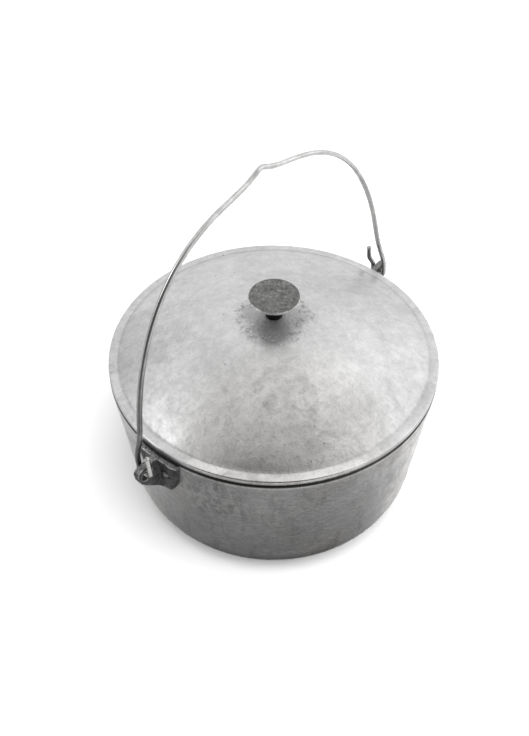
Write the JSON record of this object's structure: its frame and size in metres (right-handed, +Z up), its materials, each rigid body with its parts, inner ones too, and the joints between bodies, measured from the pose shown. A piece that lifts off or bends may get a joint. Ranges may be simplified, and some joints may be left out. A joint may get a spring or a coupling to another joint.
{
  "type": "camp kettle",
  "caption": "Round cast-metal cooking kettle with a domed lift-off lid, mushroom knob and a wire bail that swings in riveted side ears.",
  "frame": {"origin": "centre of the flat underside, where the kettle stands", "axes": "+Z up; X through the eyes of the two ears, which is the bail's hinge direction; +Y the side the bail leans towards at rest"},
  "size_m": [0.377, 0.3204, 0.3727],
  "materials": {
    "body_casting": "satin as-cast with fine machining and handling scratches, darker towards the base",
    "lid_casting": "satin, soft swirled scratches, faint stains, brighter flange",
    "knob_casting": "speckled as-cast top with a worn bright rim",
    "ear_casting": "rough dark as-cast",
    "rivet": "dark dull",
    "bail_wire": "drawn wire, satin, slightly scuffed",
    "fixing_steel": "plain zinc-plated"
  },
  "bodies": {
    "pot": {"kettle_body": "body_casting", "ear_left": "ear_casting", "ear_right": "ear_casting", "rivet_left_a": "rivet", "rivet_left_b": "rivet", "rivet_right_a": "rivet", "rivet_right_b": "rivet"},
    "lid": {"lid": "lid_casting", "lid_knob": "knob_casting", "knob_screw": "fixing_steel", "knob_washer": "fixing_steel"},
    "bail": {"bail": "bail_wire"}
  },
  "joints": [
    {"name": "bail_swing", "type": "hinge", "parent": "pot", "child": "bail", "pos_m": [0, 0, 0.16275], "axis": [1, 0, 0], "range_deg": [-88.8, 110.2]},
    {"name": "lid_lift", "type": "slide", "parent": "pot", "child": "lid", "axis": [0, -0.7071, 0.7071], "range_m": [0, 0.3]}
  ]
}
